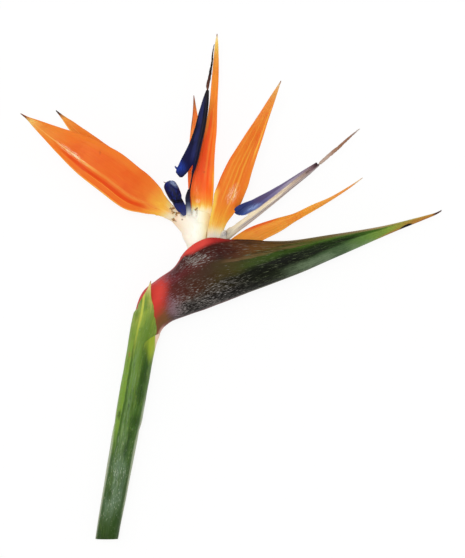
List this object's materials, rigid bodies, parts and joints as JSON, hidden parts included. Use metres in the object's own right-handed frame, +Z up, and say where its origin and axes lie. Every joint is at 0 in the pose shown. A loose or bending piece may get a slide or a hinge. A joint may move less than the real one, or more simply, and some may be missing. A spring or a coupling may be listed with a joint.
{
  "type": "bird of paradise flower",
  "caption": "Cut bird of paradise flower lying on its side: orange sepals and blue tongue petals rising from a beaked boat-shaped spathe on a green stalk.",
  "frame": {"origin": "on the flat spot under the spathe's flank, at the surface the flower lies on", "axes": "+Z up from the surface, square to the flower's flat side; +Y along the flower from the cut end of the stalk towards the sepals' tips; +X along the spathe's beak"},
  "size_m": [0.2523, 0.3032, 0.0281],
  "materials": {
    "scape": "satin",
    "sheath": "satin",
    "spathe": "satin",
    "tube": "satin",
    "sepal": "satin",
    "tongue": "satin",
    "nectary": "satin",
    "stamens": "matte",
    "style": "matte"
  },
  "bodies": {
    "root": {"scape": "scape", "sheath": "sheath", "spathe": "spathe", "flower_a_tube": "tube", "flower_b_tube": "tube", "flower_a_sepal_near": "sepal", "flower_a_sepal_far": "sepal", "flower_a_sepal_median": "sepal", "flower_b_sepal_near": "sepal", "flower_b_sepal_far": "sepal", "flower_b_sepal_median": "sepal", "flower_a_tongue": "tongue", "flower_a_style": "style", "flower_a_stamens": "stamens", "flower_b_tongue": "tongue", "flower_b_style": "style", "flower_b_stamens": "stamens", "flower_a_nectary_petal": "nectary", "flower_b_nectary_petal": "nectary"}
  },
  "joints": []
}
